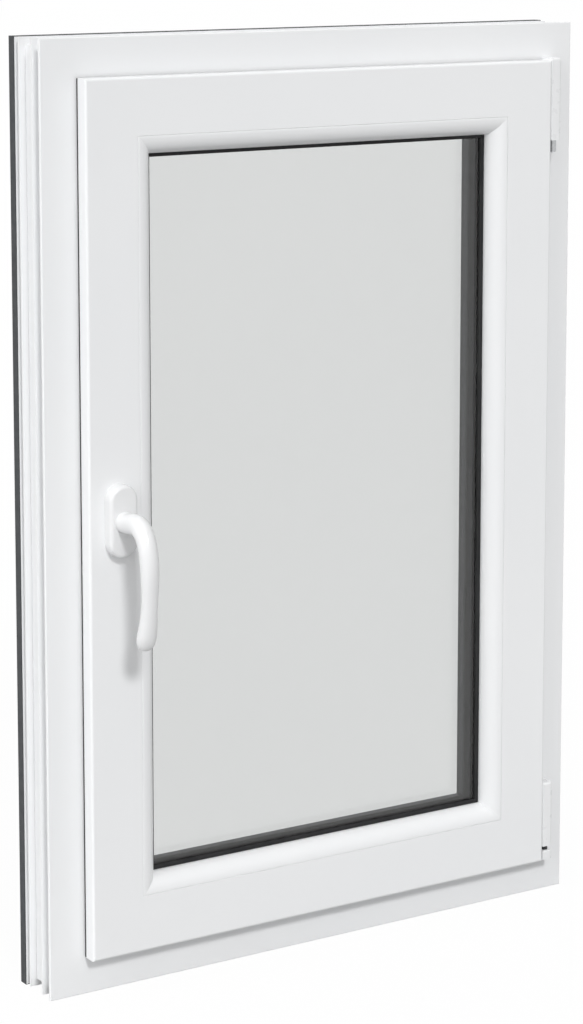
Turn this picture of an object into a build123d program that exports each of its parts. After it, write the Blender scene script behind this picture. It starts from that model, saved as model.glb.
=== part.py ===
from build123d import *
import os

# Basement window: a white tilt-and-turn window of mitred plastic profiles,
# with an anthracite foil on the outside and a handle on the left stile.
# Millimetres. Window coordinates: x from the left outer edge to the right,
# y from the room face of the frame (0) to the outside, z up from the bottom edge.
# A profile section is drawn in (u, v): u runs in from the outer edge of the
# frame, v is the window's y.

# Overall sizes
window_width = 600.0
window_height = 900.0
frame_depth = 60.0

# Frame profile
frame_room_height = 44.0
frame_stop_height = 64.0
stop_thickness = 15.0
seal_gap = 3.0
profile_wall = 2.8
profile_web = 1.4
foil = 0.6

# Clip legs and channels round the perimeter, measured from the outside face
outer_return = 10.0
outer_leg_at = 16.5
room_leg_at = 41.0
leg_thickness = 2.0
leg_setback = 0.7
channel_depth = 7.4

# Chambers and channels inside the frame profile
steel_room = 15.0
steel_to_stop = 11.5
rebate_channel = 8.0
bevel_clearance = 2.0
frame_edge_radius = 1.0

# Sash profile
sash_inset = 36.5
sash_proud = 18.0
rebate_air = 12.0
sash_face = 54.0
sash_edge_radius = 2.5
flange_edge_radius = 0.8
faceplate_recess = 3.0
faceplate_half = 8.0
gear_groove = 12.0
gear_half = 6.0
gear_axis_depth = 13.0
flange_chamber_end = 4.0
gear_chamber_depth = 22.0
floor_step = 6.5
upstand_height = 20.0
upstand_thickness = 14.0
sight_bevel = 3.5

# Glazing
pane = 4.0
cavity = 16.0
glazing_gasket = 3.0
glass_edge_clearance = 5.0
spacer_inset = 3.0
spacer_height = 7.0
glass_arris = 0.4
bead_height = 24.0
bead_joint = 0.12
bead_shoulder = 2.2
bead_edge = 0.4
bead_bulge = 2.4
bead_lip = 2.5
nib = 3.6
bead_foot = 3.0
bead_play = 1.0

# Seals
sash_seal_setback = 0.3
seal_setback = 1.5
seal_width = 5.0
seal_lip = 1.2
glazing_seal_width = 6.0
glazing_seal_proud = 1.4
foil_lap = 1.0

# Handle
handle_from_edge = 67.0
handle_height = 456.0
rosette_width = 30.0
rosette_length = 69.0
rosette_thickness = 12.0
rosette_draft = 3.0
rosette_edge = 3.6
collar_radius = 10.2
collar_seat = 5.0
running_clearance = 0.05
lever_reach = 46.0
lever_drop = 111.0
lever_lean = 10.0
spindle_square = 7.0
spindle_length = 44.0
spindle_grip = 16.0
spindle_clearance = 1.2
spindle_hole_spare = 6.0

# Lever sections from neck to tip: distance out from the rosette, height
# against the axis, slope of the plane, half width, half thickness
lever_sections = (
    (16.0, 1.0, (0, -1, 0), 9.2, 10.0),
    (32.0, -2.0, (0, -1, -0.6), 9.2, 10.0),
    (42.5, -18.0, (0, -0.4, -1), 9.0, 8.8),
    (46.0, -46.0, (0, 0, -1), 8.6, 7.3),
    (43.5, -80.0, (0, 0.12, -1), 8.2, 6.7),
    (lever_reach - lever_lean + 0.6, 2.5 - lever_drop, (0, 0.3, -1), 7.8, 6.0),
    (lever_reach - lever_lean, -lever_drop, (0, 0.3, -1), 6.2, 4.4),
)

# Hinges
hinge_width = 12.0
hinge_corner = 3.5
hinge_sash_gap = 0.4
hinge_pin_radius = 3.3
upper_cover_length = 82.5
upper_cover_top = 866.0
upper_cover_dome = 3.0
upper_pin_drop = 12.0
upper_pin_seat = 30.0
lower_band_bottom = 52.0
lower_band_length = 68.0
lower_band_dome = 2.5
lower_pin_gap = 4.8
lower_pin_seat = 25.0
lower_bearing_length = 9.3
lower_bearing_dome = 1.5
lower_bearing_seat = 7.0
pin_edge = 0.8

# Drain slots in the sill
drain_width = 28.0
drain_height = 5.0
drain_from_corner = 130.0
drain_cap_width = 40.0
drain_cap_height = 12.0
drain_cap_proud = 3.0
drain_cap_corner = 2.5
drain_cap_edge = 1.0
drain_drop = 6.0
vent_height = 3.0
vent_margin = 5.0
vent_roof = 0.8

# Sizes that follow
sash_outer_v = frame_depth - stop_thickness - seal_gap
flange_back = -seal_gap
sash_body = frame_room_height + rebate_air
bead_start = sash_inset + sash_face
rebate_floor = bead_start - floor_step
upstand_tip = rebate_floor + upstand_height
bead_tip = rebate_floor + bead_height
glass_outer_v = sash_outer_v - upstand_thickness - glazing_gasket
glass_room_v = glass_outer_v - 2 * pane - cavity
bead_back = glass_room_v - glazing_gasket
glass_edge = rebate_floor + glass_edge_clearance
foot_reference = frame_depth - outer_return / 2
spindle_passage = spindle_square / 2 ** 0.5 + spindle_clearance
rosette_front = -sash_proud - rosette_thickness
hinge_side = window_width - sash_inset + hinge_sash_gap

os.makedirs("parts", exist_ok=True)


def rectangle(u0, v0, u1, v1):
    """A filled rectangle between two corners of a section."""
    return Pos((u0 + u1) / 2, (v0 + v1) / 2) * Rectangle(abs(u1 - u0), abs(v1 - v0))


def polygon(*points):
    """A filled outline through the given corners of a section."""
    return make_face(Polyline(*points, close=True))


def rounded(section, u, v, radius):
    """The section with the corner nearest to (u, v) rounded."""
    corner = section.vertices().sort_by_distance((u, v, 0))[0]
    return fillet(corner, radius)


def mitre_prism(length):
    """The space between two planes that run in at 45 degrees from the corners."""
    reach = bead_tip + 20
    corners = ((0, 0), (reach, reach), (reach, length - reach), (0, length))
    trapezoid = Plane.XZ * polygon(*corners)
    return extrude(trapezoid, amount=frame_depth * 3, both=True)


def bar(section, length):
    """A profile bar with both ends cut to a mitre."""
    return extrude(section, amount=length) & mitre_prism(length)


def left(section):
    return bar(section, window_height)


def right(section):
    return Pos(window_width, 0, window_height) * Rot(0, 180, 0) * bar(section, window_height)


def bottom(section):
    return Pos(window_width, 0, 0) * Rot(0, -90, 0) * bar(section, window_width)


def top(section):
    return Pos(0, 0, window_height) * Rot(0, 90, 0) * bar(section, window_width)


def ring(section):
    """Four mitred bars joined into one closed seal or spacer."""
    return (left(section) + right(section) + bottom(section) + top(section)).clean()


def save(name, solid):
    """Write one piece, with the row origin on the frame's foot at mid width."""
    placed = Pos(-window_width / 2, -foot_reference, 0) * solid
    export_step(placed, "parts/" + name + ".step")


# Frame section: perimeter legs, rebate with drain channel, outer stop
def frame_outline():
    room_leg = frame_depth - room_leg_at
    outer_leg = frame_depth - outer_leg_at
    stop_v = frame_depth - stop_thickness
    channel_v = stop_v - rebate_channel
    outline = polygon(
        (0, 0),
        (0, profile_wall),
        (channel_depth, profile_wall),
        (channel_depth, room_leg - leg_thickness),
        (leg_setback, room_leg - leg_thickness),
        (leg_setback, room_leg),
        (channel_depth, room_leg),
        (channel_depth, outer_leg - leg_thickness),
        (leg_setback, outer_leg - leg_thickness),
        (leg_setback, outer_leg),
        (channel_depth, outer_leg),
        (channel_depth, frame_depth - outer_return),
        (0, frame_depth - outer_return),
        (0, frame_depth),
        (frame_stop_height - sight_bevel, frame_depth),
        (frame_stop_height, frame_depth - 2 * sight_bevel),
        (frame_stop_height, stop_v),
        (frame_room_height - profile_wall, stop_v),
        (frame_room_height - profile_wall, channel_v),
        (frame_room_height, channel_v - profile_wall),
        (frame_room_height, 0),
    )
    return rounded(outline, 0, 0, frame_edge_radius)


def frame_chambers():
    floor = channel_depth + profile_wall
    inner = frame_room_height - profile_wall
    stop_v = frame_depth - stop_thickness
    stop_room = stop_v + profile_wall
    steel_outer = stop_v - steel_to_stop
    outer_v = frame_depth - profile_wall
    return_room = frame_depth - outer_return + profile_wall
    middle_top = inner - profile_wall
    stop_top = frame_stop_height - profile_wall - bevel_clearance
    room_chamber = rectangle(floor, profile_wall, inner, steel_room - profile_web)
    steel_chamber = rectangle(floor, steel_room, inner, steel_outer)
    middle_chamber = rectangle(floor, steel_outer + profile_web, middle_top, stop_room - profile_web)
    stop_chamber = rectangle(floor, stop_room, stop_top, outer_v)
    return_chamber = rectangle(profile_wall, return_room, floor + profile_wall, outer_v)
    return room_chamber + steel_chamber + middle_chamber + stop_chamber + return_chamber


def frame_foil_section():
    bevel_u = frame_stop_height - sight_bevel
    bevel_v = frame_depth - 2 * sight_bevel
    wrap = frame_depth - outer_return
    stop_v = frame_depth - stop_thickness + foil_lap
    return polygon(
        (0, wrap),
        (0, frame_depth),
        (bevel_u, frame_depth),
        (frame_stop_height, bevel_v),
        (frame_stop_height, stop_v),
        (frame_stop_height - foil, stop_v),
        (frame_stop_height - foil, bevel_v - foil / 2),
        (bevel_u - foil / 2, frame_depth - foil),
        (foil, frame_depth - foil),
        (foil, wrap),
    )


def frame_section():
    return frame_outline() - frame_foil_section() - frame_chambers()


# Sash section: overlapping flange, hardware groove, glazing rebate, bead groove
def sash_outline():
    face = -sash_proud
    gear_axis = flange_back + gear_axis_depth
    plate_u = sash_body + faceplate_recess
    gear_u = sash_body + gear_groove
    foot_u = rebate_floor - bead_foot
    foot_v = face + nib + bead_foot + bead_play
    upstand_room = sash_outer_v - upstand_thickness
    bevel = sight_bevel
    outline = polygon(
        (sash_inset, face),
        (sash_inset, flange_back),
        (sash_body, flange_back),
        (sash_body, gear_axis - faceplate_half),
        (plate_u, gear_axis - faceplate_half),
        (plate_u, gear_axis - gear_half),
        (gear_u, gear_axis - gear_half),
        (gear_u, gear_axis + gear_half),
        (plate_u, gear_axis + gear_half),
        (plate_u, gear_axis + faceplate_half),
        (sash_body, gear_axis + faceplate_half),
        (sash_body, sash_outer_v),
        (upstand_tip - bevel, sash_outer_v),
        (upstand_tip, sash_outer_v - 2 * bevel),
        (upstand_tip, upstand_room),
        (rebate_floor, upstand_room),
        (rebate_floor, foot_v),
        (foot_u, foot_v),
        (foot_u, face + nib),
        (bead_start, face + nib),
        (bead_start, face),
    )
    outline = rounded(outline, sash_inset, face, sash_edge_radius)
    outline = rounded(outline, sash_inset, flange_back, flange_edge_radius)
    return rounded(outline, bead_start, face, bead_edge)


def sash_chambers():
    face_v = -sash_proud + profile_wall
    inner = rebate_floor - profile_wall
    web_v = flange_back + foil_lap
    flange_end = sash_body - flange_chamber_end
    gear_floor = sash_body + gear_groove + profile_wall
    gear_end = web_v + gear_chamber_depth
    body_u = sash_body + profile_wall
    upstand_room = sash_outer_v - upstand_thickness
    outer_top = upstand_tip - profile_wall - bevel_clearance
    flange_room = rectangle(sash_inset + profile_wall, face_v, flange_end, flange_back - profile_wall)
    room_chamber = rectangle(flange_end + profile_web, face_v, inner - bead_foot, web_v - profile_web)
    gear_chamber = rectangle(gear_floor, web_v, inner, gear_end)
    middle_chamber = rectangle(body_u, gear_end + profile_web, inner, upstand_room - profile_web)
    outer_chamber = rectangle(body_u, upstand_room + profile_wall, outer_top, sash_outer_v - profile_wall)
    return flange_room + room_chamber + gear_chamber + middle_chamber + outer_chamber


def sash_foil_section():
    bevel_u = upstand_tip - sight_bevel
    bevel_v = sash_outer_v - 2 * sight_bevel
    upstand_room = sash_outer_v - upstand_thickness + foil_lap
    return polygon(
        (sash_body, sash_outer_v),
        (bevel_u, sash_outer_v),
        (upstand_tip, bevel_v),
        (upstand_tip, upstand_room),
        (upstand_tip - foil, upstand_room),
        (upstand_tip - foil, bevel_v - foil / 2),
        (bevel_u - foil / 2, sash_outer_v - foil),
        (sash_body, sash_outer_v - foil),
    )


def sash_section():
    return sash_outline() - sash_foil_section() - sash_chambers()


# Glazing bead: a foot behind the nib and a curved face that falls to the glass
def bead_section():
    face = -sash_proud
    start = bead_start + bead_joint
    foot_u = rebate_floor - bead_foot + bead_joint
    foot_v = face + nib + bead_joint
    tip_v = bead_back - bead_lip
    shoulder = start + bead_shoulder
    straight = Polyline(
        (bead_tip, tip_v),
        (bead_tip, bead_back),
        (rebate_floor, bead_back),
        (rebate_floor, foot_v + bead_foot),
        (foot_u, foot_v + bead_foot),
        (foot_u, foot_v),
        (start, foot_v),
        (start, face + bead_edge),
        (start + bead_edge, face),
        (shoulder, face),
    )
    middle = ((shoulder + bead_tip) / 2 + bead_bulge, (face + tip_v) / 2 - bead_bulge)
    curve = ThreePointArc((shoulder, face), middle, (bead_tip, tip_v))
    return make_face(straight + curve)


# Seals and spacer
def frame_gasket_section():
    u0 = sash_body + seal_setback
    u1 = u0 + seal_width
    return rounded(rectangle(u0, sash_outer_v, u1, frame_depth - stop_thickness), u1, sash_outer_v, seal_lip)


def sash_gasket_section():
    u0 = sash_inset + sash_seal_setback
    u1 = frame_room_height - seal_setback
    return rounded(rectangle(u0, flange_back, u1, 0), u0, 0, seal_lip)


def room_glazing_gasket_section():
    u1 = bead_tip + glazing_seal_proud
    u0 = u1 - glazing_seal_width
    return rounded(rectangle(u0, bead_back, u1, glass_room_v), u1, bead_back, seal_lip)


def outer_glazing_gasket_section():
    upstand_room = sash_outer_v - upstand_thickness
    u1 = upstand_tip + glazing_seal_proud
    u0 = u1 - glazing_seal_width
    return rounded(rectangle(u0, glass_outer_v, u1, upstand_room), u1, upstand_room, seal_lip)


def spacer_section():
    u = glass_edge + spacer_inset
    v = glass_room_v + pane
    return rectangle(u, v, u + spacer_height, v + cavity)


def glass_sheet(v):
    width = window_width - 2 * glass_edge
    height = window_height - 2 * glass_edge
    sheet = Box(width, pane, height)
    sheet = chamfer(sheet.edges(), glass_arris)
    return Pos(window_width / 2, v + pane / 2, window_height / 2) * sheet


# Handle: rosette, lever with a collar that turns in it, square spindle
def at_handle(v):
    """A plane on the handle axis at depth v that looks into the room."""
    return Plane(origin=(handle_from_edge, v, handle_height), x_dir=(1, 0, 0), z_dir=(0, -1, 0))


def rosette():
    stadium = SlotOverall(rosette_length, rosette_width, rotation=90)
    body = extrude(at_handle(-sash_proud) * stadium, amount=rosette_thickness, taper=rosette_draft)
    face = body.faces().sort_by(Axis.Y)[0]
    body = fillet(face.edges(), rosette_edge)
    bore = extrude(at_handle(rosette_front) * Circle(collar_radius + running_clearance), amount=-collar_seat)
    passage = extrude(at_handle(-sash_proud) * Circle(spindle_passage), amount=rosette_thickness)
    return body - bore - passage


def lever_section(out, rise, direction, half_width, half_thickness):
    origin = (handle_from_edge, rosette_front - out, handle_height + rise)
    return Plane(origin=origin, x_dir=(1, 0, 0), z_dir=direction) * Ellipse(half_width, half_thickness)


def lever():
    """A bar of oval sections that leaves the collar, turns down and leans back."""
    seat = rosette_front + collar_seat
    root = lever_section(0, 0, (0, -1, 0), collar_radius - 0.4, collar_radius - 0.3)
    sections = [root] + [lever_section(*values) for values in lever_sections]
    grip = loft(sections)
    collar = extrude(at_handle(seat) * Circle(collar_radius), amount=collar_seat)
    socket = extrude(at_handle(seat) * Rectangle(spindle_square, spindle_square), amount=spindle_grip)
    return grip + collar - socket


def spindle():
    start = rosette_front + collar_seat - spindle_grip
    return extrude(at_handle(start) * Rectangle(spindle_square, spindle_square), amount=-spindle_length)


def spindle_hole(stile):
    """The stile with the hole for the spindle through its room-side walls."""
    depth = spindle_length + spindle_hole_spare
    return stile - extrude(at_handle(-sash_proud) * Circle(spindle_passage), amount=-depth)


# Hinges on the right side: flat covers flush with the sash, pins between them
def hinge_cover(z0, z1, dome):
    """A cover with a rounded outer corner and a domed top."""
    section = rectangle(hinge_side, -sash_proud, hinge_side + hinge_width, 0)
    section = rounded(section, hinge_side + hinge_width, -sash_proud, hinge_corner)
    cover = extrude(Pos(0, 0, z0) * section, amount=z1 - z0)
    rim = []
    for edge in cover.faces().sort_by(Axis.Z)[-1].edges():
        if edge.center().X > hinge_side + pin_edge and edge.center().Y < -pin_edge:
            rim.append(edge)
    return fillet(rim, dome)


def hinge_rod(z0, z1):
    """A round rod on the hinge axis, for a pin or its bore."""
    axis = Pos(hinge_side + hinge_width / 2, -sash_proud + hinge_width / 2, z0)
    return extrude(axis * Circle(hinge_pin_radius), amount=z1 - z0)


upper_cover_bottom = upper_cover_top - upper_cover_length
lower_bearing_top = lower_band_bottom - lower_pin_gap


def upper_hinge_cover():
    bore = hinge_rod(upper_cover_bottom, upper_cover_bottom + upper_pin_seat)
    return hinge_cover(upper_cover_bottom, upper_cover_top, upper_cover_dome) - bore


def upper_hinge_pin():
    pin = hinge_rod(upper_cover_bottom - upper_pin_drop, upper_cover_bottom + upper_pin_seat)
    return chamfer(pin.faces().sort_by(Axis.Z)[0].edges(), pin_edge)


def lower_hinge_band():
    top_z = lower_band_bottom + lower_band_length
    bore = hinge_rod(lower_band_bottom, lower_band_bottom + lower_pin_seat)
    return hinge_cover(lower_band_bottom, top_z, lower_band_dome) - bore


def lower_hinge_bearing():
    bore = hinge_rod(lower_bearing_top - lower_bearing_seat, lower_bearing_top)
    bottom_z = lower_bearing_top - lower_bearing_length
    return hinge_cover(bottom_z, lower_bearing_top, lower_bearing_dome) - bore


def lower_hinge_pin():
    return hinge_rod(lower_bearing_top - lower_bearing_seat, lower_band_bottom + lower_pin_seat)


# Drain slots and their caps on the outside of the sill
def drain_places():
    return (drain_from_corner, window_width - drain_from_corner)


def drained(sill):
    """The sill with slots from the rebate channel through to the outside."""
    z = frame_room_height - profile_wall - drain_height
    for x in drain_places():
        slot = Pos(x, frame_depth, z - drain_drop) * Box(drain_width, 2 * stop_thickness, drain_height)
        sill = sill - slot
    return sill


def drain_caps():
    z = frame_room_height - profile_wall - drain_height - drain_drop
    caps = []
    for x in drain_places():
        cap = Box(drain_cap_width, drain_cap_proud, drain_cap_height)
        cap = fillet(cap.edges().filter_by(Axis.Y), drain_cap_corner)
        cap = chamfer(cap.faces().sort_by(Axis.Y)[-1].edges(), drain_cap_edge)
        vent = Box(drain_cap_width - 2 * vent_margin, drain_cap_proud, vent_height)
        vent = Pos(0, vent_roof, -drain_cap_height / 2) * vent
        caps.append(Pos(x, frame_depth + drain_cap_proud / 2, z) * (cap - vent))
    return Compound(caps)


frame_bar = frame_section()
frame_skin = frame_foil_section()
sash_bar = sash_section()
sash_skin = sash_foil_section()
bead_bar = bead_section()

save("frame_head", top(frame_bar))
save("frame_sill", drained(bottom(frame_bar)))
save("frame_jamb_left", left(frame_bar))
save("frame_jamb_right", right(frame_bar))
save("frame_foil_head", top(frame_skin))
save("frame_foil_sill", drained(bottom(frame_skin)))
save("frame_foil_left", left(frame_skin))
save("frame_foil_right", right(frame_skin))

save("sash_top_rail", top(sash_bar))
save("sash_bottom_rail", bottom(sash_bar))
save("sash_handle_stile", spindle_hole(left(sash_bar)))
save("sash_hinge_stile", right(sash_bar))
save("sash_foil_top", top(sash_skin))
save("sash_foil_bottom", bottom(sash_skin))
save("sash_foil_left", left(sash_skin))
save("sash_foil_right", right(sash_skin))

save("bead_top", top(bead_bar))
save("bead_bottom", bottom(bead_bar))
save("bead_left", left(bead_bar))
save("bead_right", right(bead_bar))

save("frame_gasket", ring(frame_gasket_section()))
save("sash_gasket", ring(sash_gasket_section()))
save("glazing_gasket_room", ring(room_glazing_gasket_section()))
save("glazing_gasket_outer", ring(outer_glazing_gasket_section()))
save("glass_spacer", ring(spacer_section()))
save("pane_room", glass_sheet(glass_room_v))
save("pane_outer", glass_sheet(glass_outer_v - pane))

save("handle_rosette", rosette())
save("handle_lever", lever())
save("handle_spindle", spindle())
save("upper_hinge_cover", upper_hinge_cover())
save("upper_hinge_pin", upper_hinge_pin())
save("lower_hinge_band", lower_hinge_band())
save("lower_hinge_bearing", lower_hinge_bearing())
save("lower_hinge_pin", lower_hinge_pin())
save("drain_caps", drain_caps())
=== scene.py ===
# %% [markdown]
# # A basement window, seen from the room
#
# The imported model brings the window's real pieces at their real size. This notebook
# gives every surface its finish, adds what is too fine for the model, and sets up the
# camera and the light of a plain studio. All sizes are metres. The window stands with
# its width along x, its depth along y (the room is towards -y) and its height along z.

# %% Load the fixed frame
import bpy
import math
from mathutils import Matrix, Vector


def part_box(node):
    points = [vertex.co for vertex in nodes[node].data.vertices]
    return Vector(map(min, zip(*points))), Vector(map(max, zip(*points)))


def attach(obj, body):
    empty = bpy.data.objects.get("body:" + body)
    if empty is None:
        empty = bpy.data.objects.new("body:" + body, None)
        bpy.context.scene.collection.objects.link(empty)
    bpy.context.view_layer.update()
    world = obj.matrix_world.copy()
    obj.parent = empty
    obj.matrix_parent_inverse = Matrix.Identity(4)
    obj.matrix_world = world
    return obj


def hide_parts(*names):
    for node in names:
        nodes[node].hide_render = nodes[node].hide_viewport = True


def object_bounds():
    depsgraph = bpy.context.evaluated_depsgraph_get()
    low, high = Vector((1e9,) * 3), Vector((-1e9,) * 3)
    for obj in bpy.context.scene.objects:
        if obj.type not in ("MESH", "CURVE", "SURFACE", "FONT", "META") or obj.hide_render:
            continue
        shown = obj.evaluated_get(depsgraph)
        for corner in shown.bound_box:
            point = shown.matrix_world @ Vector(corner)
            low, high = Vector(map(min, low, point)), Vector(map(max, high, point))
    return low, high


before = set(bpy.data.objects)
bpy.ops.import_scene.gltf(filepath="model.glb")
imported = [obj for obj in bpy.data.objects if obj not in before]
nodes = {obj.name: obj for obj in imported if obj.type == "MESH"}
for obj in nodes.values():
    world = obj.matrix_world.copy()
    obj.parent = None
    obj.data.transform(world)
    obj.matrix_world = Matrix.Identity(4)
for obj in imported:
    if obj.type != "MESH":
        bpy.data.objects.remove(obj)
cad_low, cad_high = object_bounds()
MILLIMETRE = 0.001
print("pieces from the model:", len(nodes), "box", cad_low, cad_high)

# %% [markdown]
# ## Colour management
#
# The Standard view shows a colour about as it is written, so a white plastic stays
# the white that was chosen for it. Other views bend the bright end, which would turn
# this window's whites grey.

# %% View transform
scene = bpy.context.scene
scene.view_settings.view_transform = "Standard"
print("view transform:", scene.view_settings.view_transform)

# %% [markdown]
# ## The camera
#
# The picture looks at the window from the left and from a little above, through a long
# lens. Its upright edges are nearly parallel. A lens shift keeps them so, but the same
# shift has to serve every other view, so it goes only part of the way, and the rest is
# a small downward tilt.

# %% Camera
LENS_MM = 101.12
SENSOR_MM = 36.0
SHIFT_DOWN = -0.22
CAMERA_PLACE = (-1.4927, -2.3499, 1.0328)
TURN_RIGHT = math.radians(32.466)
TILT_DOWN = math.radians(7.885)

camera_data = bpy.data.cameras.new("window_camera")
camera_data.lens = LENS_MM
camera_data.sensor_width = SENSOR_MM
camera_data.shift_y = SHIFT_DOWN
camera = bpy.data.objects.new("window_camera", camera_data)
scene.collection.objects.link(camera)
camera.location = CAMERA_PLACE
camera.rotation_euler = (math.pi / 2 - TILT_DOWN, 0.0, -TURN_RIGHT)
scene.camera = camera
print("camera at", tuple(camera.location))

# %% [markdown]
# ## Helpers for materials
#
# A material is a small graph of nodes. It could be drawn by hand in the shader editor.
# In code it is shorter to have a few helpers: one starts a material and hands back its
# shader, the others add one kind of node each and hand back its result.

# %% Start a material and find a place on the piece
def new_material(name):
    """A material with its node tree and its Principled shader."""
    material = bpy.data.materials.new(name)
    material.use_nodes = True
    tree = material.node_tree
    return material, tree, tree.nodes["Principled BSDF"]


def object_place(tree):
    """The point on the piece in metres. Every piece sits at the window's origin."""
    return tree.nodes.new("ShaderNodeTexCoord").outputs["Object"]


def stretched_place(tree, scale):
    """The point with each axis scaled. A noise on it is drawn out along a small one."""
    node = tree.nodes.new("ShaderNodeMapping")
    node.inputs["Scale"].default_value = scale
    tree.links.new(object_place(tree), node.inputs["Vector"])
    return node.outputs["Vector"]


# %% Noise, ranges and arithmetic
def noise(tree, cycles, place=None, detail=3.0):
    """Smooth noise with that many cycles a metre."""
    node = tree.nodes.new("ShaderNodeTexNoise")
    node.inputs["Scale"].default_value = cycles
    node.inputs["Detail"].default_value = detail
    tree.links.new(place or object_place(tree), node.inputs["Vector"])
    return node.outputs["Fac"]


def remap(tree, value, from_low, from_high, to_low, to_high):
    """The value moved from one range to another, and held inside it."""
    node = tree.nodes.new("ShaderNodeMapRange")
    node.inputs["From Min"].default_value = from_low
    node.inputs["From Max"].default_value = from_high
    node.inputs["To Min"].default_value = to_low
    node.inputs["To Max"].default_value = to_high
    tree.links.new(value, node.inputs["Value"])
    return node.outputs["Result"]


def spread(tree, value, low=0.0, high=1.0, reach=0.15):
    """A noise spread over a range. It mostly lies within that reach of one half."""
    return remap(tree, value, 0.5 - reach, 0.5 + reach, low, high)


def calculate(tree, operation, first, second):
    """One step of arithmetic. Each side is a number or another node's result."""
    node = tree.nodes.new("ShaderNodeMath")
    node.operation = operation
    for side, socket in zip((first, second), node.inputs):
        if isinstance(side, (int, float)):
            socket.default_value = side
        else:
            tree.links.new(side, socket)
    return node.outputs["Value"]


# %% Colours and relief
def blend(tree, factor, first, second):
    """A colour between two, each given as a colour or as another node's result."""
    node = tree.nodes.new("ShaderNodeMix")
    node.data_type = "RGBA"
    colours = [socket for socket in node.inputs if socket.type == "RGBA"]
    for side, socket in zip((first, second), colours):
        if isinstance(side, tuple):
            socket.default_value = (*side, 1.0)
        else:
            tree.links.new(side, socket)
    tree.links.new(factor, node.inputs["Factor"])
    return [socket for socket in node.outputs if socket.type == "RGBA"][0]


def bump(tree, height, metres):
    """A bent normal, as if the surface rose by that many metres where the height is 1."""
    node = tree.nodes.new("ShaderNodeBump")
    node.inputs["Distance"].default_value = metres
    tree.links.new(height, node.inputs["Height"])
    return node.outputs["Normal"]


# %% [markdown]
# ## Worn edges
#
# Even a new window is handled at its edges, which end up a trace brighter than its
# flats. Cavity and pointiness need a finely divided mesh. The Bevel node doesn't: it
# rounds the normal near an edge, and where that differs from the true normal there is
# an edge, so the same few nodes work on every piece.

# %% Edge mask
EDGE_BEGINS = 0.92
EDGE_FULL = 0.65
BEVEL_SAMPLES = 4


def edge_mask(tree, radius):
    """1 at an edge, falling to 0 at that distance from it."""
    rounded = tree.nodes.new("ShaderNodeBevel")
    rounded.samples = BEVEL_SAMPLES
    rounded.inputs["Radius"].default_value = radius
    true_normal = tree.nodes.new("ShaderNodeNewGeometry")
    compare = tree.nodes.new("ShaderNodeVectorMath")
    compare.operation = "DOT_PRODUCT"
    tree.links.new(rounded.outputs["Normal"], compare.inputs[0])
    tree.links.new(true_normal.outputs["Normal"], compare.inputs[1])
    return remap(tree, compare.outputs["Value"], EDGE_BEGINS, EDGE_FULL, 0.0, 1.0)


# %% [markdown]
# ## The weld at the corners
#
# The bars are cut at 45 degrees and welded, and the weld is planed to a shallow groove.
# The groove lies where the distance from the side equals the distance from the top or
# bottom, so two absolute values find all four corners at once, and no line is drawn.

# %% Mitre mask
HALF_WIDTH = (cad_high[0] - cad_low[0]) / 2
HALF_HEIGHT = (cad_high[2] - cad_low[2]) / 2
print("half width and height of the window:", HALF_WIDTH, HALF_HEIGHT)


def mitre_mask(tree, width):
    """1 on the mitre, falling to 0 at that distance from it."""
    axes = tree.nodes.new("ShaderNodeSeparateXYZ")
    tree.links.new(object_place(tree), axes.inputs["Vector"])
    from_middle_x = calculate(tree, "ABSOLUTE", axes.outputs["X"], 0.0)
    rise = calculate(tree, "SUBTRACT", axes.outputs["Z"], HALF_HEIGHT)
    from_middle_z = calculate(tree, "ABSOLUTE", rise, 0.0)
    from_side = calculate(tree, "SUBTRACT", HALF_WIDTH, from_middle_x)
    from_end = calculate(tree, "SUBTRACT", HALF_HEIGHT, from_middle_z)
    gap = calculate(tree, "SUBTRACT", from_side, from_end)
    distance = calculate(tree, "ABSOLUTE", gap, 0.0)
    return remap(tree, distance, 0.0, width, 1.0, 0.0)


# %% [markdown]
# ## White window plastic
#
# The profiles are pressed through a polished die, which leaves a satin gloss and very
# faint lines along each bar. A slow noise tints the white a little. A noise drawn out
# along the bar makes the lines, so upright and level bars each get their own material.

# %% Colours and sizes of the white plastic
WHITE_LIGHT = (0.865, 0.872, 0.880)
WHITE_SHADE = (0.850, 0.859, 0.869)
WHITE_EDGE = (0.895, 0.900, 0.905)
WELD_TONE = (0.835, 0.845, 0.856)
WHITE_TINT_CYCLES = 5.0
WHITE_EDGE_WIDTH = 1.2 * MILLIMETRE
WHITE_EDGE_SHARE = 0.6
WHITE_IOR = 1.46
UPRIGHT = (1.0, 1.0, 0.02)
LEVEL = (0.02, 1.0, 1.0)
DIE_LINE_CYCLES = 500.0
DIE_LINE_RELIEF = 0.02
WELD_WIDTH = 0.4 * MILLIMETRE
BAR_WELD_DEPTH = 0.04 * MILLIMETRE
BEAD_WELD_DEPTH = 0.06 * MILLIMETRE
print("the plastic is between", WHITE_SHADE, "and", WHITE_LIGHT)


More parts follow.
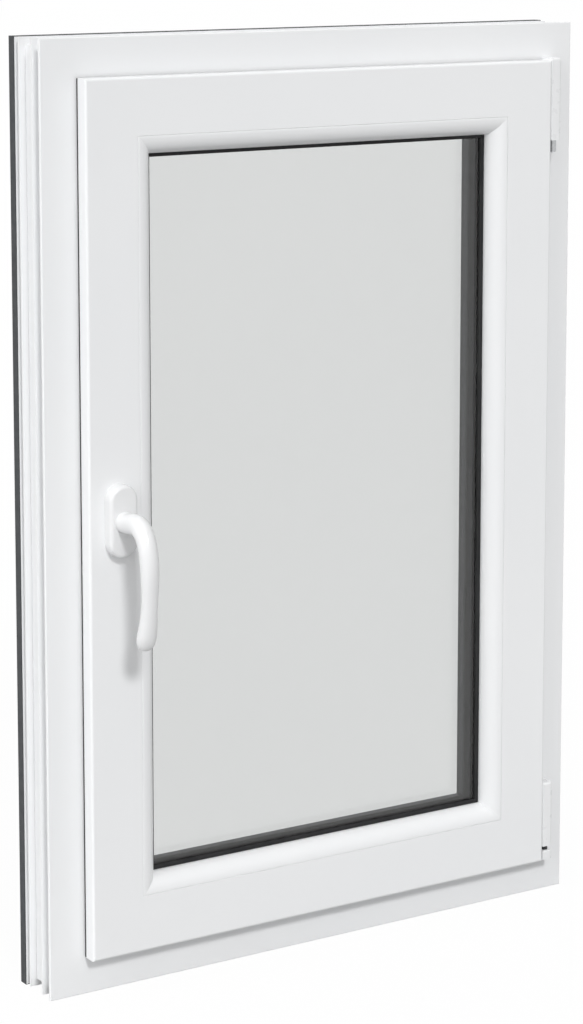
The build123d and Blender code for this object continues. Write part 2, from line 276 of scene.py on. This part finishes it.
# %% White plastic for the bars
def profile_plastic(name, along, weld_depth):
    """White plastic with die lines along a bar and a weld groove at its mitres."""
    material, tree, shader = new_material(name)
    slow_tint = spread(tree, noise(tree, WHITE_TINT_CYCLES))
    body = blend(tree, slow_tint, WHITE_LIGHT, WHITE_SHADE)
    wear = calculate(tree, "MULTIPLY", edge_mask(tree, WHITE_EDGE_WIDTH), WHITE_EDGE_SHARE)
    worn = blend(tree, wear, body, WHITE_EDGE)
    weld = mitre_mask(tree, WELD_WIDTH)
    tree.links.new(blend(tree, weld, worn, WELD_TONE), shader.inputs["Base Color"])
    die_lines = noise(tree, DIE_LINE_CYCLES, stretched_place(tree, along), detail=2.0)
    roughness = spread(tree, die_lines, 0.30, 0.33, reach=0.2)
    tree.links.new(roughness, shader.inputs["Roughness"])
    lines = calculate(tree, "MULTIPLY", die_lines, DIE_LINE_RELIEF)
    relief = calculate(tree, "SUBTRACT", lines, weld)
    tree.links.new(bump(tree, relief, weld_depth), shader.inputs["Normal"])
    shader.inputs["IOR"].default_value = WHITE_IOR
    print("made", name)
    return material


upright_plastic = profile_plastic("white_plastic_upright", UPRIGHT, BAR_WELD_DEPTH)
level_plastic = profile_plastic("white_plastic_level", LEVEL, BAR_WELD_DEPTH)
upright_bead = profile_plastic("bead_plastic_upright", UPRIGHT, BEAD_WELD_DEPTH)
level_bead = profile_plastic("bead_plastic_level", LEVEL, BEAD_WELD_DEPTH)

# %% [markdown]
# ## Moulded and coated parts
#
# Hinge covers and drain caps are moulded, the handle is coated metal, and the seals are
# rubber. They share one recipe: a tint that wanders, a roughness that wanders faster, a
# fine grain in relief, and lighter worn edges. Only the numbers differ, so the recipe
# is one function and each finish is one call.

# %% One recipe for the smaller parts
SMALL_TINT_CYCLES = 30.0
SMALL_SHINE_CYCLES = 120.0
SMALL_EDGE_WIDTH = 0.8 * MILLIMETRE


def moulded(name, light, shade, edge, grain, grain_depth, smooth, rough, gleam=0.5):
    """A finish from its three tones, its grain in cycles and metres, and its shine."""
    material, tree, shader = new_material(name)
    tint = blend(tree, spread(tree, noise(tree, SMALL_TINT_CYCLES)), light, shade)
    worn = blend(tree, edge_mask(tree, SMALL_EDGE_WIDTH), tint, edge)
    tree.links.new(worn, shader.inputs["Base Color"])
    roughness = spread(tree, noise(tree, SMALL_SHINE_CYCLES), smooth, rough)
    tree.links.new(roughness, shader.inputs["Roughness"])
    relief = bump(tree, noise(tree, grain, detail=2.0), grain_depth)
    tree.links.new(relief, shader.inputs["Normal"])
    shader.inputs["Specular IOR Level"].default_value = gleam
    print("made", name)
    return material


# %% Pale finishes: hinges and handle
hinge_plastic = moulded(
    "hinge_plastic", (0.835, 0.842, 0.850), (0.825, 0.832, 0.840), (0.850, 0.857, 0.865),
    grain=900.0, grain_depth=0.01 * MILLIMETRE, smooth=0.27, rough=0.30)
handle_coating = moulded(
    "handle_coating", (0.800, 0.804, 0.810), (0.790, 0.795, 0.802), (0.815, 0.818, 0.823),
    grain=1400.0, grain_depth=0.005 * MILLIMETRE, smooth=0.22, rough=0.27)

# %% Dark finishes: foil, seals, caps and one pin
foil = moulded(
    "anthracite_foil", (0.034, 0.037, 0.041), (0.027, 0.030, 0.034), (0.048, 0.052, 0.057),
    grain=1800.0, grain_depth=0.06 * MILLIMETRE, smooth=0.42, rough=0.52, gleam=0.3)
seal_rubber = moulded(
    "seal_rubber", (0.026, 0.026, 0.027), (0.018, 0.018, 0.019), (0.034, 0.034, 0.035),
    grain=1500.0, grain_depth=0.04 * MILLIMETRE, smooth=0.55, rough=0.68, gleam=0.2)
cap_plastic = moulded(
    "drain_cap_plastic", (0.050, 0.055, 0.062), (0.040, 0.045, 0.052), (0.075, 0.080, 0.088),
    grain=1200.0, grain_depth=0.03 * MILLIMETRE, smooth=0.38, rough=0.48)
dark_pin = moulded(
    "dark_pin", (0.030, 0.031, 0.033), (0.022, 0.023, 0.025), (0.050, 0.051, 0.053),
    grain=2200.0, grain_depth=0.01 * MILLIMETRE, smooth=0.35, rough=0.45, gleam=0.4)

# %% [markdown]
# ## The bar between the panes
#
# The spacer is a dark hollow bar. Its visible side has a row of pinholes that let the
# drying agent inside reach the air between the panes. Holes cut into the mesh would be
# thousands of faces, so a wave up the bar and a narrow band across it mark them. There
# the colour is near black: painted shade for the dark inside of each hole.

# %% Pinholes of the spacer bar
HOLE_PITCH = 4.0 * MILLIMETRE
HOLE_HALF = 0.6 * MILLIMETRE
spacer_low, spacer_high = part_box("glass_spacer")
spacer_middle = (spacer_low[1] + spacer_high[1]) / 2


def pinholes(tree):
    """1 at each pinhole, where the hole's shade is painted, 0 elsewhere."""
    axes = tree.nodes.new("ShaderNodeSeparateXYZ")
    tree.links.new(object_place(tree), axes.inputs["Vector"])
    across = calculate(tree, "SUBTRACT", axes.outputs["Y"], spacer_middle)
    off_middle = calculate(tree, "ABSOLUTE", across, 0.0)
    in_row = calculate(tree, "LESS_THAN", off_middle, HOLE_HALF)
    from_hole = calculate(tree, "PINGPONG", axes.outputs["Z"], HOLE_PITCH / 2)
    at_hole = calculate(tree, "LESS_THAN", from_hole, HOLE_HALF)
    return calculate(tree, "MULTIPLY", at_hole, in_row)


print("pinholes at y", spacer_middle)

# %% Spacer bar
SPACER_LIGHT = (0.110, 0.111, 0.114)
SPACER_SHADE = (0.090, 0.091, 0.094)
# Near black at the pinholes: painted shade for the dark inside of each hole.
PAINTED_HOLE_SHADE = (0.008, 0.008, 0.008)
SPACER_TINT_CYCLES = 80.0
SPACER_SHINE_CYCLES = 300.0
SPACER_GRAIN_CYCLES = 900.0
SPACER_GRAIN_DEPTH = 0.02 * MILLIMETRE
spacer_finish, spacer_tree, spacer_shader = new_material("spacer_bar")
spacer_tint = blend(spacer_tree, noise(spacer_tree, SPACER_TINT_CYCLES), SPACER_LIGHT, SPACER_SHADE)
# The spacer's tint, with painted shade at each pinhole in place of a real hole.
spacer_tint_and_hole_shade = blend(spacer_tree, pinholes(spacer_tree), spacer_tint, PAINTED_HOLE_SHADE)
spacer_tree.links.new(spacer_tint_and_hole_shade, spacer_shader.inputs["Base Color"])
spacer_shine = noise(spacer_tree, SPACER_SHINE_CYCLES)
spacer_roughness = spread(spacer_tree, spacer_shine, 0.34, 0.46, reach=0.2)
spacer_tree.links.new(spacer_roughness, spacer_shader.inputs["Roughness"])
spacer_grain = bump(spacer_tree, noise(spacer_tree, SPACER_GRAIN_CYCLES), SPACER_GRAIN_DEPTH)
spacer_tree.links.new(spacer_grain, spacer_shader.inputs["Normal"])
print("made", spacer_finish.name)

# %% [markdown]
# ## Zinc-plated steel
#
# Zinc plating is a bright metal with a fine crystalline mottle. The mottle is a noise
# in the colour, and the roughness follows it.

# %% Zinc
ZINC_LIGHT = (0.56, 0.57, 0.58)
ZINC_SHADE = (0.42, 0.43, 0.44)
ZINC_EDGE = (0.70, 0.70, 0.71)
MOTTLE_CYCLES = 700.0
MOTTLE_DEPTH = 0.01 * MILLIMETRE
ZINC_EDGE_WIDTH = 0.5 * MILLIMETRE
zinc, zinc_tree, zinc_shader = new_material("zinc_steel")
mottle = spread(zinc_tree, noise(zinc_tree, MOTTLE_CYCLES))
zinc_tint = blend(zinc_tree, mottle, ZINC_SHADE, ZINC_LIGHT)
zinc_worn = blend(zinc_tree, edge_mask(zinc_tree, ZINC_EDGE_WIDTH), zinc_tint, ZINC_EDGE)
zinc_tree.links.new(zinc_worn, zinc_shader.inputs["Base Color"])
zinc_roughness = remap(zinc_tree, mottle, 0.0, 1.0, 0.30, 0.42)
zinc_tree.links.new(zinc_roughness, zinc_shader.inputs["Roughness"])
zinc_tree.links.new(bump(zinc_tree, mottle, MOTTLE_DEPTH), zinc_shader.inputs["Normal"])
zinc_shader.inputs["Metallic"].default_value = 1.0
print("made", zinc.name)

# %% [markdown]
# ## Glass
#
# Two sheets of float glass with a sun coating look neutral grey against white. The
# Principled shader's transmission colours the light at each surface it crosses, four
# here, so the colour is only slightly grey, and it wanders a little over the sheet.

# %% Glass
GLASS_LIGHT = (0.822, 0.828, 0.826)
GLASS_SHADE = (0.816, 0.823, 0.821)
GLASS_TINT_CYCLES = 2.0
GLASS_IOR = 1.52
glass, glass_tree, glass_shader = new_material("window_glass")
slow_sheet = spread(glass_tree, noise(glass_tree, GLASS_TINT_CYCLES))
glass_tint = blend(glass_tree, slow_sheet, GLASS_LIGHT, GLASS_SHADE)
glass_tree.links.new(glass_tint, glass_shader.inputs["Base Color"])
glass_shader.inputs["Roughness"].default_value = 0.0
glass_shader.inputs["IOR"].default_value = GLASS_IOR
glass_shader.inputs["Transmission Weight"].default_value = 1.0
print("made", glass.name)

# %% [markdown]
# ## Give each piece its finish
#
# The names say what a piece is and which way it runs. A table of name starts, read from
# the top, keeps the choice in one place, with the longer starts before the shorter.

# %% Finish table
FINISHES = {
    "frame_foil": foil,
    "sash_foil": foil,
    "frame_gasket": seal_rubber,
    "sash_gasket": seal_rubber,
    "glazing_gasket": seal_rubber,
    "frame_jamb": upright_plastic,
    "frame_": level_plastic,
    "sash_top_rail": level_plastic,
    "sash_bottom_rail": level_plastic,
    "sash_": upright_plastic,
    "bead_top": level_bead,
    "bead_bottom": level_bead,
    "bead_": upright_bead,
    "glass_spacer": spacer_finish,
    "pane_": glass,
    "handle_spindle": zinc,
    "handle_": handle_coating,
    "upper_hinge_pin": zinc,
    "lower_hinge_pin": dark_pin,
    "upper_hinge": hinge_plastic,
    "lower_hinge": hinge_plastic,
    "drain_caps": cap_plastic,
}


def finish_of(node_name):
    """The material of the first name start that fits."""
    for start, material in FINISHES.items():
        if node_name.startswith(start):
            return material


for name, node in nodes.items():
    node.data.materials.clear()
    node.data.materials.append(finish_of(name))
print("finished pieces:", len(nodes))

# %% [markdown]
# ## Smooth the round pieces
#
# The model's curves arrive as small flat faces. Shading them smooth up to an angle
# rounds the lever and the beads, and keeps the corners of the bars crisp.

# %% Smooth shading
SMOOTH_ANGLE = math.radians(35)
bpy.ops.object.select_all(action="DESELECT")
for node in nodes.values():
    node.select_set(True)
bpy.context.view_layer.objects.active = nodes["handle_lever"]
bpy.ops.object.shade_smooth_by_angle(angle=SMOOTH_ANGLE)
bpy.ops.object.select_all(action="DESELECT")
print("smooth up to", math.degrees(SMOOTH_ANGLE), "degrees")

# %% [markdown]
# ## Rings round the glass
#
# The seals and the outer edge of the sash are closed rings with mitred corners. Each
# could be four bars joined at the corners. A plane that is inset and loses its middle
# is a mitred ring at once, and one extrusion gives it depth.

# %% Make a ring
def sash_ring(name, outer_inset, inner_inset, near, far):
    """A ring between two distances from the window's edge, and between two depths y."""
    middle = (0, near, HALF_HEIGHT)
    bpy.ops.object.select_all(action="DESELECT")
    bpy.ops.mesh.primitive_plane_add(size=2.0, location=middle, rotation=(math.pi / 2, 0, 0))
    ring = bpy.context.object
    ring.name = name
    ring.scale = (HALF_WIDTH - outer_inset, HALF_HEIGHT - outer_inset, 1.0)
    bpy.ops.object.transform_apply(location=True, rotation=True, scale=True)
    bpy.ops.object.mode_set(mode="EDIT")
    bpy.ops.mesh.select_all(action="SELECT")
    bpy.ops.mesh.inset(thickness=inner_inset - outer_inset, use_even_offset=True)
    bpy.ops.mesh.delete(type="FACE")
    bpy.ops.mesh.select_all(action="SELECT")
    bpy.ops.mesh.extrude_region_move(TRANSFORM_OT_translate={"value": (0, far - near, 0)})
    bpy.ops.mesh.select_all(action="SELECT")
    bpy.ops.mesh.normals_make_consistent(inside=False)
    bpy.ops.object.mode_set(mode="OBJECT")
    return ring


# %% Round its inner edge
SAME_PLACE = 0.01 * MILLIMETRE


def round_inner_edge(ring, inner_inset, depth, radius, steps):
    """Bevel the ring's inner edge at that depth."""
    inner_x = HALF_WIDTH - inner_inset

    def on_edge(point):
        return abs(abs(point.x) - inner_x) < SAME_PLACE and abs(point.y - depth) < SAME_PLACE

    bpy.ops.object.mode_set(mode="EDIT")
    bpy.ops.mesh.select_all(action="DESELECT")
    bpy.ops.object.mode_set(mode="OBJECT")
    for edge in ring.data.edges:
        edge.select = all(on_edge(ring.data.vertices[index].co) for index in edge.vertices)
    chosen = sum(edge.select for edge in ring.data.edges)
    bpy.ops.object.mode_set(mode="EDIT")
    bpy.ops.mesh.select_mode(type="EDGE")
    bpy.ops.mesh.bevel(offset=radius, segments=steps, affect="EDGES")
    bpy.ops.object.mode_set(mode="OBJECT")
    print(ring.name, "edges rounded:", chosen, "faces now:", len(ring.data.polygons))


# %% Finish a new piece
def finish_piece(ring, material):
    """Shade a ring or a leaf, give it its finish, and let it ride with the window."""
    ring.data.materials.append(material)
    bpy.ops.object.shade_smooth_by_angle(angle=SMOOTH_ANGLE)
    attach(ring, "window")
    bpy.ops.object.select_all(action="DESELECT")


# %% [markdown]
# ## The glazing seals
#
# A soft black lip presses on the glass from each side. The model holds the seal's body.
# The lip that shows is longer: about 4 mm on the room side, rounded at its edge. So a
# ring from the body's outer side to the lip's edge stands for each seal.

# %% The seal on the room side
ROOM_LIP = 3.8 * MILLIMETRE
ROOM_LIP_ROUND = 1.6 * MILLIMETRE
bead_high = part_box("bead_left")[1]
bead_inset = HALF_WIDTH + bead_high[0]
room_low, room_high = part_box("glazing_gasket_room")
room_root = HALF_WIDTH - room_high[0]
room_tip = bead_inset + ROOM_LIP
room_seal = sash_ring("glazing_seal_room", room_root, room_tip, room_low[1], room_high[1])
round_inner_edge(room_seal, room_tip, room_low[1], ROOM_LIP_ROUND, steps=4)
finish_piece(room_seal, seal_rubber)
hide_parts("glazing_gasket_room")
print("bead ends at", bead_inset, "room lip at", room_tip)

# %% The seal on the outer side
OUTER_LIP = 1.2 * MILLIMETRE
OUTER_LIP_ROUND = 1.0 * MILLIMETRE
outer_low, outer_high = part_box("glazing_gasket_outer")
outer_root = HALF_WIDTH - outer_high[0]
outer_tip = bead_inset + OUTER_LIP
outer_seal = sash_ring("glazing_seal_outer", outer_root, outer_tip, outer_low[1], outer_high[1])
round_inner_edge(outer_seal, outer_tip, outer_high[1], OUTER_LIP_ROUND, steps=3)
finish_piece(outer_seal, seal_rubber)
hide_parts("glazing_gasket_outer")
print("outer lip at", outer_tip)

# %% [markdown]
# ## The outer edge of the sash
#
# Outside the glass the sash ends as high as the beads do inside, in a rounded edge of
# the dark foil. Seen through the glass it is the broad dark band on the right and
# below. It is one more ring, on the end of the sash's outer wall.

# %% Outer edge
EDGE_OVERLAP = 3.6 * MILLIMETRE
EDGE_SETBACK = 1.2 * MILLIMETRE
EDGE_ROUND = 2.0 * MILLIMETRE
foil_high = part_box("sash_foil_left")[1]
edge_root = HALF_WIDTH + foil_high[0] - EDGE_OVERLAP
edge_tip = bead_inset - EDGE_SETBACK
sash_edge = sash_ring("sash_outer_edge", edge_root, edge_tip, outer_high[1], foil_high[1])
round_inner_edge(sash_edge, edge_tip, foil_high[1], EDGE_ROUND, steps=4)
finish_piece(sash_edge, foil)
print("outer edge from", edge_root, "to", edge_tip)

# %% [markdown]
# ## Hinge leaves
#
# Each hinge cover stands a hair off the sash, and the leaf that carries the sash
# crosses that gap. It closes the gap to a shallow line. A leaf is a thin plate: a cube
# primitive at its size and place, with all its edges bevelled.

# %% Hinge leaves
LEAF_SETBACK = 0.6 * MILLIMETRE
LEAF_ROUND_SHARE = 1 / 5
sash_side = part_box("sash_hinge_stile")[1][0]


def hinge_leaf(name, cover_name):
    """A plate that fills the gap between the sash and a hinge cover."""
    low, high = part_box(cover_name)
    width = low[0] - sash_side
    depth = high[1] - low[1] - LEAF_SETBACK
    height = high[2] - low[2] - 2 * LEAF_SETBACK
    place = (sash_side + width / 2, high[1] - depth / 2, (low[2] + high[2]) / 2)
    bpy.ops.object.select_all(action="DESELECT")
    bpy.ops.mesh.primitive_cube_add(size=1.0, location=place)
    leaf = bpy.context.object
    leaf.name = name
    leaf.scale = (width, depth, height)
    bpy.ops.object.transform_apply(location=True, rotation=True, scale=True)
    bpy.ops.object.mode_set(mode="EDIT")
    bpy.ops.mesh.select_all(action="SELECT")
    bpy.ops.mesh.bevel(offset=width * LEAF_ROUND_SHARE, segments=2, affect="EDGES")
    bpy.ops.object.mode_set(mode="OBJECT")
    finish_piece(leaf, hinge_plastic)
    print(name, "fills a gap of", round(width / MILLIMETRE, 2), "mm")


hinge_leaf("upper_hinge_leaf", "upper_hinge_cover")
hinge_leaf("lower_hinge_leaf", "lower_hinge_band")

# %% [markdown]
# ## A white studio
#
# Floor and world show white to the camera and in the glass, which more light could
# only do by bleaching the window. A Light Path node says what kind of ray asks: camera,
# glossy and transmission rays get the white, all others get the real floor and light.

# %% Rays that see the white
PLAIN_WHITE = (1.0, 1.0, 1.0, 1.0)


def white_rays(tree):
    """1 for the rays that should see plain white."""
    path = tree.nodes.new("ShaderNodeLightPath")
    camera_ray = path.outputs["Is Camera Ray"]
    seen = calculate(tree, "MAXIMUM", camera_ray, path.outputs["Is Glossy Ray"])
    return calculate(tree, "MAXIMUM", seen, path.outputs["Is Transmission Ray"])


# %% [markdown]
# ## The floor
#
# The floor is a large plane under the window. It is mostly white glow to the camera,
# and the rest is a plain matt surface that keeps the window's shadow.

# %% Floor
FLOOR_SIZE = 40.0
FLOOR_TONE = (0.45, 0.45, 0.45, 1.0)
FLOOR_ROUGHNESS = 0.9
GLOW_SHARE = 0.94
GLOW_STRENGTH = 1.03
bpy.ops.mesh.primitive_plane_add(size=FLOOR_SIZE, location=(0, 0, 0))
floor = bpy.context.object
floor.name = "studio_floor"
floor_paint, floor_tree, floor_shader = new_material("studio_floor")
floor_shader.inputs["Base Color"].default_value = FLOOR_TONE
floor_shader.inputs["Roughness"].default_value = FLOOR_ROUGHNESS
floor_glow = floor_tree.nodes.new("ShaderNodeEmission")
floor_glow.inputs["Strength"].default_value = GLOW_STRENGTH
floor_mix = floor_tree.nodes.new("ShaderNodeMixShader")
floor_share = calculate(floor_tree, "MULTIPLY", white_rays(floor_tree), GLOW_SHARE)
floor_tree.links.new(floor_share, floor_mix.inputs[0])
floor_tree.links.new(floor_shader.outputs[0], floor_mix.inputs[1])
floor_tree.links.new(floor_glow.outputs[0], floor_mix.inputs[2])
floor_output = floor_tree.nodes["Material Output"]
floor_tree.links.new(floor_mix.outputs[0], floor_output.inputs["Surface"])
floor.data.materials.append(floor_paint)
print("floor of", FLOOR_SIZE, "m")

# %% [markdown]
# ## The world
#
# The room's own light is soft and comes from everywhere, a little more from above and
# from the left. A ring of large lamps could do that, but each would add a shadow. A
# world whose strength follows the direction gives the same shading with none.

# %% World
ROOM_LEVEL = 0.42
ROOM_SLOPE = 0.30
BRIGHT_SIDE = (-0.65, -0.10, 0.55)
world = bpy.data.worlds.new("studio_world")
world.use_nodes = True
scene.world = world
sky = world.node_tree
sky.nodes.clear()
direction = sky.nodes.new("ShaderNodeTexCoord")
towards = sky.nodes.new("ShaderNodeVectorMath")
towards.operation = "DOT_PRODUCT"
towards.inputs[1].default_value = BRIGHT_SIDE
sky.links.new(direction.outputs["Generated"], towards.inputs[0])
room_light = sky.nodes.new("ShaderNodeBackground")
slope = calculate(sky, "MULTIPLY", towards.outputs["Value"], ROOM_SLOPE)
sky.links.new(calculate(sky, "ADD", slope, ROOM_LEVEL), room_light.inputs["Strength"])
room_light.inputs["Color"].default_value = PLAIN_WHITE
backdrop = sky.nodes.new("ShaderNodeBackground")
backdrop.inputs["Color"].default_value = PLAIN_WHITE
sky_mix = sky.nodes.new("ShaderNodeMixShader")
sky.links.new(white_rays(sky), sky_mix.inputs[0])
sky.links.new(room_light.outputs[0], sky_mix.inputs[1])
sky.links.new(backdrop.outputs[0], sky_mix.inputs[2])
sky_output = sky.nodes.new("ShaderNodeOutputWorld")
sky.links.new(sky_mix.outputs[0], sky_output.inputs["Surface"])
print("room light", ROOM_LEVEL, "slope", ROOM_SLOPE)

# %% [markdown]
# ## The key light
#
# The narrow dark line under the sash and the shadow of the handle come from one light
# in front of the window, above it and a little to the left. An area lamp would fade
# with distance. A sun lamp has the same strength everywhere, and its angle sets how
# soft the shadow's edge is.

# %% Key light
KEY_STRENGTH = 1.45
KEY_ANGLE = math.radians(10)
KEY_FROM = (-0.20, -0.75, 0.60)


def sun_lamp(name, strength, angle, from_where):
    """A sun that shines from that direction."""
    lamp_data = bpy.data.lights.new(name, "SUN")
    lamp_data.energy = strength
    lamp_data.angle = angle
    lamp = bpy.data.objects.new(name, lamp_data)
    scene.collection.objects.link(lamp)
    lamp.rotation_mode = "QUATERNION"
    lamp.rotation_quaternion = Vector(from_where).to_track_quat("Z", "Y")
    print(name, "from", from_where)


sun_lamp("key_light", KEY_STRENGTH, KEY_ANGLE, KEY_FROM)

# %% [markdown]
# ## The fill light
#
# The sides and tops that face up and to the left are the brightest parts of the window.
# A second sun from there lifts them. It passes almost along the window's face, and its
# angle is wide, so it leaves hardly any shadow of its own on the front.

# %% Fill light
FILL_STRENGTH = 1.30
FILL_ANGLE = math.radians(60)
FILL_FROM = (-0.85, -0.05, 0.35)
sun_lamp("fill_light", FILL_STRENGTH, FILL_ANGLE, FILL_FROM)
